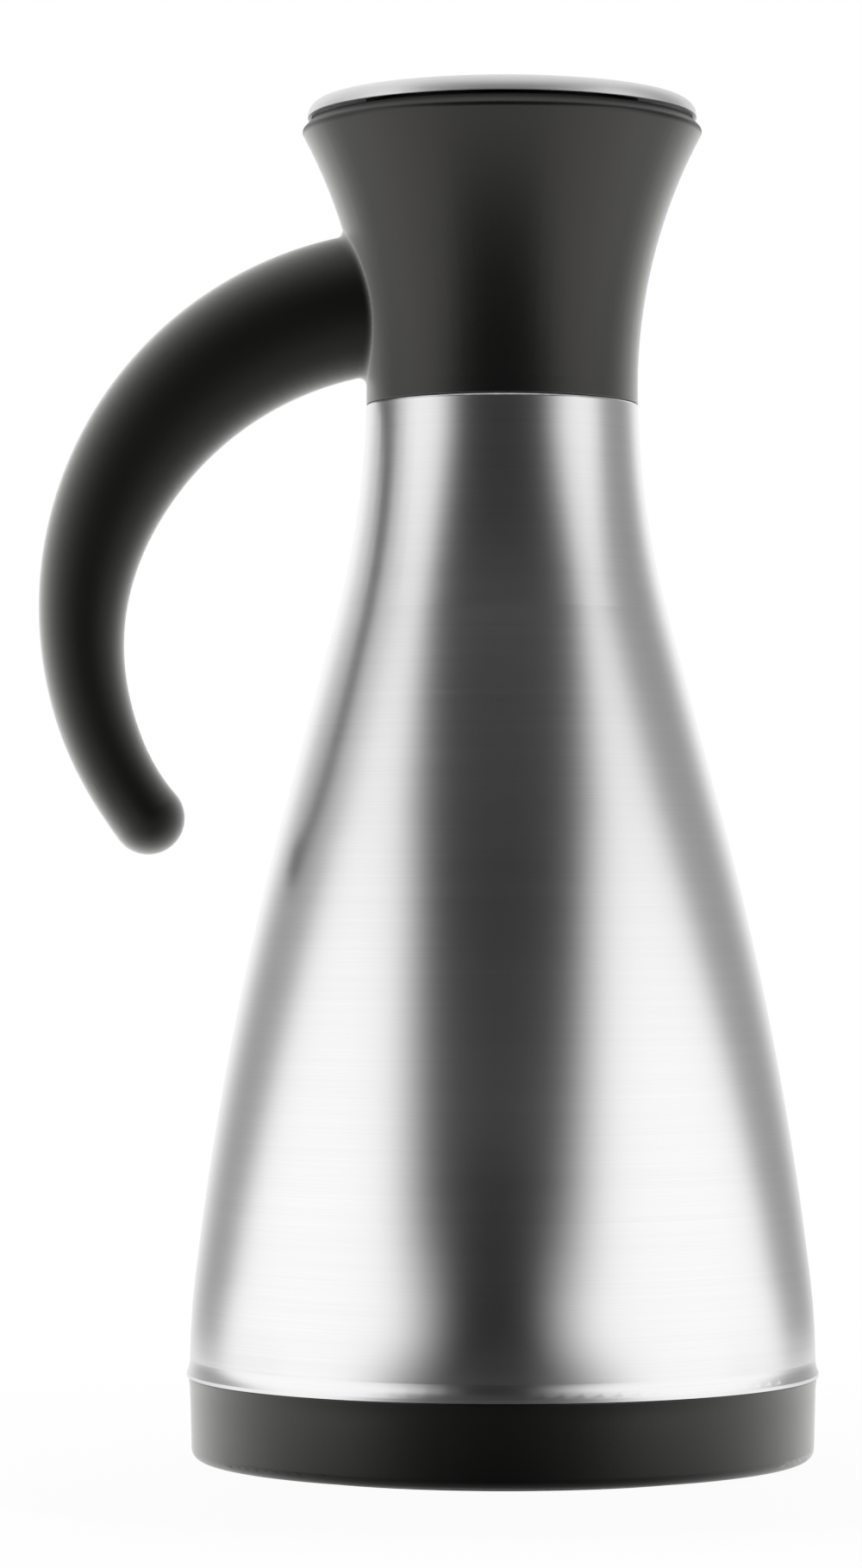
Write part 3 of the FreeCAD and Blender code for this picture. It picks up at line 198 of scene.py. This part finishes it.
def brushed(name, tone, roughness, stretch, by_radius):
    """Steel with scratches round the jug's axis, whose reflections are drawn out by stretch.

    The scratches are packed by height, and by distance from the axis as much as by_radius says.
    """
    material, surface, place = new_finish(name, Metallic=1.0, Anisotropic=stretch,
                                          Anisotropic_Rotation=0.25)
    x, y, z = place.axes()
    round_axis = place.node("ShaderNodeCombineXYZ", X=x, Y=y, Z=z + off_axis(place) * by_radius)
    scratch = grain(round_axis, scale=1.0, detail=3.0, rough=0.6, stretch=(14.0, 14.0, 4200.0))
    band = grain(round_axis, scale=1.0, detail=2.0, stretch=(5.0, 5.0, 700.0))
    wear = grain(place, scale=22.0, detail=3.0)
    lines = scratch * 0.7 + band * 0.3
    feed(surface,
         Base_Color=lines.between(grey(tone * 0.9, tone * 0.905), grey(tone * 1.06, tone * 1.07)),
         Roughness=swing(wear, middle=swing(lines, middle=roughness, reach=0.06), reach=0.02),
         Normal=bump(scratch, depth=0.0000015))
    return material


shell_steel = brushed("brushed_steel", tone=0.82, roughness=0.29, stretch=0.15, by_radius=0.0)
dress("outer_shell", shell_steel)

# Outer bottom and the inner flask with its bottom: plain steel, drawn in a press and welded,
# with faint draw marks round the axis and a light stain.


def drawn_steel(name, tone, roughness):
    """Steel as it comes from the press or the lathe, with marks round the jug's axis."""
    material, surface, place = new_finish(name, Metallic=1.0)
    marks = grain(place, scale=1.0, detail=3.0, rough=0.6, stretch=(10.0, 10.0, 420.0))
    stain = grain(place, scale=30.0, detail=3.0)
    mottle = marks * 0.6 + stain * 0.4
    feed(surface,
         Base_Color=mottle.between(grey(tone * 0.85, tone * 0.86), grey(tone * 1.08)),
         Roughness=swing(marks, middle=roughness, reach=0.15),
         Normal=bump(marks, depth=0.000006))
    return material


flask_steel = drawn_steel("flask_steel", tone=0.68, roughness=0.26)
for name in ("shell_bottom", "inner_flask", "inner_bottom"):
    dress(name, flask_steel)

# Bead of braze that closes the pump-out hole: melted in the vacuum furnace, so it is dull
# and slightly rippled.


def speckled(name, scale, detail, colours, roughness, reach, depth, **constants):
    """A finish whose colour, roughness and relief follow one noise."""
    material, surface, place = new_finish(name, **constants)
    speck = grain(place, scale, detail)
    feed(surface,
         Base_Color=speck.between(*colours),
         Roughness=swing(speck, roughness, reach),
         Normal=bump(speck, depth))
    return material


braze = speckled("braze_bead", scale=700.0, detail=3.0,
                 colours=((0.55, 0.46, 0.28, 1.0), (0.78, 0.68, 0.45, 1.0)),
                 roughness=0.42, reach=0.2, depth=0.00008, Metallic=1.0)
dress("vacuum_seal", braze)

# Getter: a pellet of pressed metal powder, grey and slightly porous. It takes up the last gas
# between the two steel walls.

pellet = speckled("getter_pellet", scale=3000.0, detail=4.0,
                  colours=(grey(0.3, 0.31), grey(0.5, 0.51)),
                  roughness=0.62, reach=0.2, depth=0.00006, Metallic=1.0)
dress("getter", pellet)

# Neck seal: a moulded ring of grey silicone, matt from its mould. It lies on the flask's lip,
# pressed there by the collar.

silicone = speckled("grey_silicone", scale=260.0, detail=3.0,
                    colours=((0.26, 0.27, 0.28, 1.0), (0.34, 0.35, 0.36, 1.0)),
                    roughness=0.52, reach=0.12, depth=0.00002,
                    Metallic=0.0, IOR=1.42, Subsurface_Weight=0.1, Subsurface_Scale=0.001)
dress("neck_seal", silicone)

# Collar: moulded in the same black plastic as the base cup, flared from the neck seam up to its
# rim. It sits over the steel neck and holds the funnel.

# The collar carries the same painted sheen, left off at its rim.
dress("collar", satin_black)

# Handle: a horn moulded in black plastic, with a duller and coarser grain for the hand. It is
# seated on the back of the collar and drawn tight by two screws from inside.

# Its base colour carries a broader and stronger painted sheen towards its edges.
grip_black = moulded_black("grip_black", shade=0.003, roughness=0.5, gloss=0.3, pebble=0.000016,
                           painted_sheen_level=1.2, falloff=1.8)
dress("handle", grip_black)

# Saddle plate and handle screws: pressed and turned steel, bright from the tool, inside the
# collar where the funnel hides them.

fastener_steel = drawn_steel("fastener_steel", tone=0.62, roughness=0.3)
for name in ("handle_plate", "handle_screws"):
    dress(name, fastener_steel)

# Pouring funnel: moulded in a matt black plastic that is safe with hot drinks. It lifts out
# of the collar by its rim.

# A faint painted sheen lightens its base colour towards the edges.
inner_black = moulded_black("matt_black", shade=0.012, roughness=0.5, gloss=0.6, pebble=0.000016,
                            painted_sheen_level=0.1, falloff=3.0)
dress("pour_funnel", inner_black)

# Spigot ring: a ring of the same grey silicone as the neck seal, stretched into a groove of the
# funnel's spigot.

dress("funnel_o_ring", silicone)

# Hinge pin: a rod of turned steel, pressed into the funnel's two bosses. The lid's knuckle
# turns on it.

dress("hinge_pin", fastener_steel)

# Lid cap: stainless steel pressed to a low dome and brushed in circles, with its edge turned
# down over the moulding that it is bonded to.

lid_steel = brushed("brushed_lid", tone=0.86, roughness=0.5, stretch=0.7, by_radius=1.0)
dress("lid_cap", lid_steel)

# Lid core and plug: mouldings in the funnel's matt black plastic. They close round the weight
# and clamp the seal.

for name in ("lid_core", "lid_plug"):
    dress(name, inner_black)

# Lid seal: a ring of the same grey silicone, clamped between core and plug. It meets the
# funnel's seat.

dress("lid_seal", silicone)

# Lid weight and screw: the turned steel slug that swings the lid, and the screw that holds the
# plug under it.

for name in ("lid_weight", "lid_screw"):
    dress(name, fastener_steel)

# Table: a white board under the jug, with a dark cloth on it in front, from the base out to the
# card. The camera sees it white, with a faint shadow, and the steel mirrors the cloth.


def stage_finish(name):
    """A material with no shader yet, and the place on the piece that patterns read."""
    material = bpy.data.materials.new(name)
    material.use_nodes = True
    material.node_tree.nodes.clear()
    return material, Shade(material.node_tree).node("ShaderNodeTexCoord", output="Object")


def off_front(x, y):
    """Degrees round the axis from the camera's side, the same to the left and to the right."""
    return abs(x).maths("ARCTAN2", -y) * math.degrees(1.0)


def ray_masks(shade):
    """1 for rays from the camera, and 1 for all rays that show what is round the jug."""
    rays = shade.node("ShaderNodeLightPath").socket.node.outputs
    direct, mirrored, through = (Shade(shade.tree, rays[f"Is {kind} Ray"])
                                 for kind in ("Camera", "Glossy", "Transmission"))
    return direct, direct.maths("MAXIMUM", mirrored.maths("MAXIMUM", through))


def new_stage(name, build, material):
    """A part of the studio, which isn't part of the jug."""
    mesh = bpy.data.meshes.new(name)
    shape = bmesh.new()
    build(shape)
    shape.to_mesh(mesh)
    shape.free()
    mesh.materials.append(material)
    item = bpy.data.objects.new(name, mesh)
    bpy.context.scene.collection.objects.link(item)
    return item


TABLE_RADIUS = 3.0
TABLE_DROP = 0.0003
TABLE_PAINT = grey(0.86)
WHITE = grey(1.0)
DARK_CLOTH = grey(0.02)
CARD_RADIUS = 0.14
CLOTH_SIDES = (0.0, 95.0)
CLOTH_NEAR = (0.05, 0.07)
CLOTH_FAR = (CARD_RADIUS - 0.02, CARD_RADIUS)
SHADOW = 0.04
SHADOW_FADE = (0.08, 0.26)

table_white, place = stage_finish("table_white")
direct, showing = ray_masks(place)
x, y, z = place.axes()
distance = off_axis(place)
cloth = (1.0 - off_front(x, y).step(*CLOTH_SIDES)) * distance.step(*CLOTH_NEAR)
cloth *= 1.0 - distance.step(*CLOTH_FAR)
mirrored_cloth = cloth * (1.0 - direct)
paint = place.node("ShaderNodeBsdfDiffuse", Color=cloth.between(TABLE_PAINT, DARK_CLOTH))
glow = place.node("ShaderNodeEmission", Color=mirrored_cloth.between(WHITE, DARK_CLOTH), Strength=1.0)
glowing = showing * (1.0 - SHADOW + distance.step(*SHADOW_FADE) * SHADOW)
board = place.node("ShaderNodeMixShader", i0=glowing, i1=paint, i2=glow)
place.node("ShaderNodeOutputMaterial", Surface=board)


def build_table(shape):
    """A flat disc just under the pad."""
    bmesh.ops.create_circle(shape, cap_ends=True, segments=96, radius=TABLE_RADIUS,
                            matrix=Matrix.Translation((0.0, 0.0, -TABLE_DROP)))


new_stage("table", build_table, table_white)

# Light tent: an upright tube of lit cloth round the jug, hidden from the camera. A dark slit in
# front, wider towards its top, gives the steel its dark band, and two grey seams further back
# darken its edges. Angles are in degrees from the front, and each slant is for a metre of height.

TENT_RADIUS = 0.35
TENT_HEIGHT = 0.9
TENT_LIGHT = 1.2
BLACK = grey(0.0)
UPPER_PART = (0.18, 0.36)
UPPER_SHADE = 0.14

SLIT_SHIFT = 0.03
SLIT_LEAN = 0.11
SLIT_HALF_WIDTH = 21.0
SLIT_SLANT = 80.0
SLIT_EDGE = (-11.0, 11.0)
SLIT_FOOT = (0.03, 0.07)
SLIT_TOP = (0.52, 0.62)
SLIT_SHADE = 0.99
FLARE = 5.0
FLARE_END = (0.04, 0.12)
SWELL = 9.0
SWELL_START = (0.26, 0.34)
SWELL_END = (0.37, 0.46)

LEFT_SIDE = (-0.1, 0.1)
SEAM_START = 116.0
SEAM_START_SLANT = 112.0
SEAM_START_EDGE = (-7.0, 7.0)
SEAM_END_EDGE = (134.0, 168.0)
SEAM_END_SLANT = 62.0
SEAM_END_LEFT = 5.0
SEAM_TOP = (0.45, 0.8)
SEAM_STRENGTH = 0.9
SEAM_LEFT_LOSS = 0.45
SEAM_LEFT_FADE = (0.18, 0.34)
SEAM_SHADE = 0.8


def hide_from_camera(item):
    """Leave a part of the studio to light and reflections."""
    item.visible_camera = False
    item.visible_shadow = False


tent_cloth, place = stage_finish("tent_cloth")
x, y, z = place.axes()
half_width = SLIT_HALF_WIDTH + z * SLIT_SLANT + (1.0 - z.step(*FLARE_END)) * FLARE
half_width += (z.step(*SWELL_START) - z.step(*SWELL_END)) * SWELL
off_slit = off_front(x + SLIT_SHIFT - z * SLIT_LEAN, y)
slit = 1.0 - (off_slit - half_width).step(*SLIT_EDGE)
slit *= z.step(*SLIT_FOOT) * (1.0 - z.step(*SLIT_TOP))
turn = off_front(x, y)
left = 1.0 - x.step(*LEFT_SIDE)
seam = (turn - (SEAM_START - z * SEAM_START_SLANT)).step(*SEAM_START_EDGE)
seam *= 1.0 - (turn + z * SEAM_END_SLANT + left * SEAM_END_LEFT).step(*SEAM_END_EDGE)
seam *= 1.0 - z.step(*SEAM_TOP)
seam *= SEAM_STRENGTH - left * z.step(*SEAM_LEFT_FADE) * SEAM_LEFT_LOSS
light = (1.0 - slit * SLIT_SHADE) * (1.0 - seam * SEAM_SHADE) * (1.0 - z.step(*UPPER_PART) * UPPER_SHADE)
lamp = place.node("ShaderNodeEmission", Color=light.between(BLACK, WHITE), Strength=TENT_LIGHT)
place.node("ShaderNodeOutputMaterial", Surface=lamp)


def build_tent(shape):
    """A tube that is open at both ends."""
    bmesh.ops.create_cone(shape, segments=128, radius1=TENT_RADIUS, radius2=TENT_RADIUS, depth=TENT_HEIGHT,
                          matrix=Matrix.Translation((0.0, 0.0, TENT_HEIGHT / 2)))


hide_from_camera(new_stage("light_tent", build_tent, tent_cloth))

# Dark card: a low strip bent round the front of the jug, hidden from the camera. It is black in
# its middle, most of all at its foot, and lit like the tent at its ends.

CARD_HEIGHT = 0.06
CARD_SPREAD = math.radians(70.0)
CARD_SHIFT = 0.006
CARD_EDGE = (9.0, 32.0)
CARD_FLARE = 16.0
CARD_FLARE_END = (0.008, 0.03)

flag_black, place = stage_finish("flag_black")
x, y, z = place.axes()
flare = (1.0 - z.step(*CARD_FLARE_END)) * CARD_FLARE
lit = (off_front(x + CARD_SHIFT, y) - flare).step(*CARD_EDGE)
card = place.node("ShaderNodeEmission", Color=lit.between(BLACK, WHITE), Strength=TENT_LIGHT)
place.node("ShaderNodeOutputMaterial", Surface=card)


def build_card(shape):
    """An upright edge, turned about the axis."""
    left_end = (-CARD_RADIUS * math.sin(CARD_SPREAD), -CARD_RADIUS * math.cos(CARD_SPREAD))
    corners = [shape.verts.new((*left_end, level)) for level in (0.0, CARD_HEIGHT)]
    edge = shape.edges.new(corners)
    bmesh.ops.spin(shape, geom=[*corners, edge], cent=(0.0, 0.0, 0.0), axis=(0.0, 0.0, 1.0),
                   angle=2 * CARD_SPREAD, steps=64)


hide_from_camera(new_stage("dark_card", build_card, flag_black))

# Room and camera: the room round the tent is white to look at and a little dimmer as light.
# The camera stands low in front of the slit, with a long lens.

ROOM_LIGHT = grey(0.75)

world = bpy.data.worlds.new("studio")
bpy.context.scene.world = world
world.use_nodes = True
direct, showing = ray_masks(Shade(world.node_tree))
feed(world.node_tree.nodes["Background"], Color=showing.between(ROOM_LIGHT, WHITE))

lens = bpy.data.cameras.new("camera")
lens.sensor_fit = "VERTICAL"
lens.sensor_height = 36.0
lens.lens = 118.8
camera = bpy.data.objects.new("camera", lens)
camera.location = (0.0, -1.07, 0.115)
camera.rotation_euler = (math.radians(91.32), 0.0, math.radians(0.79))
bpy.context.scene.collection.objects.link(camera)
bpy.context.scene.camera = camera
bpy.context.scene.view_settings.view_transform = "Standard"
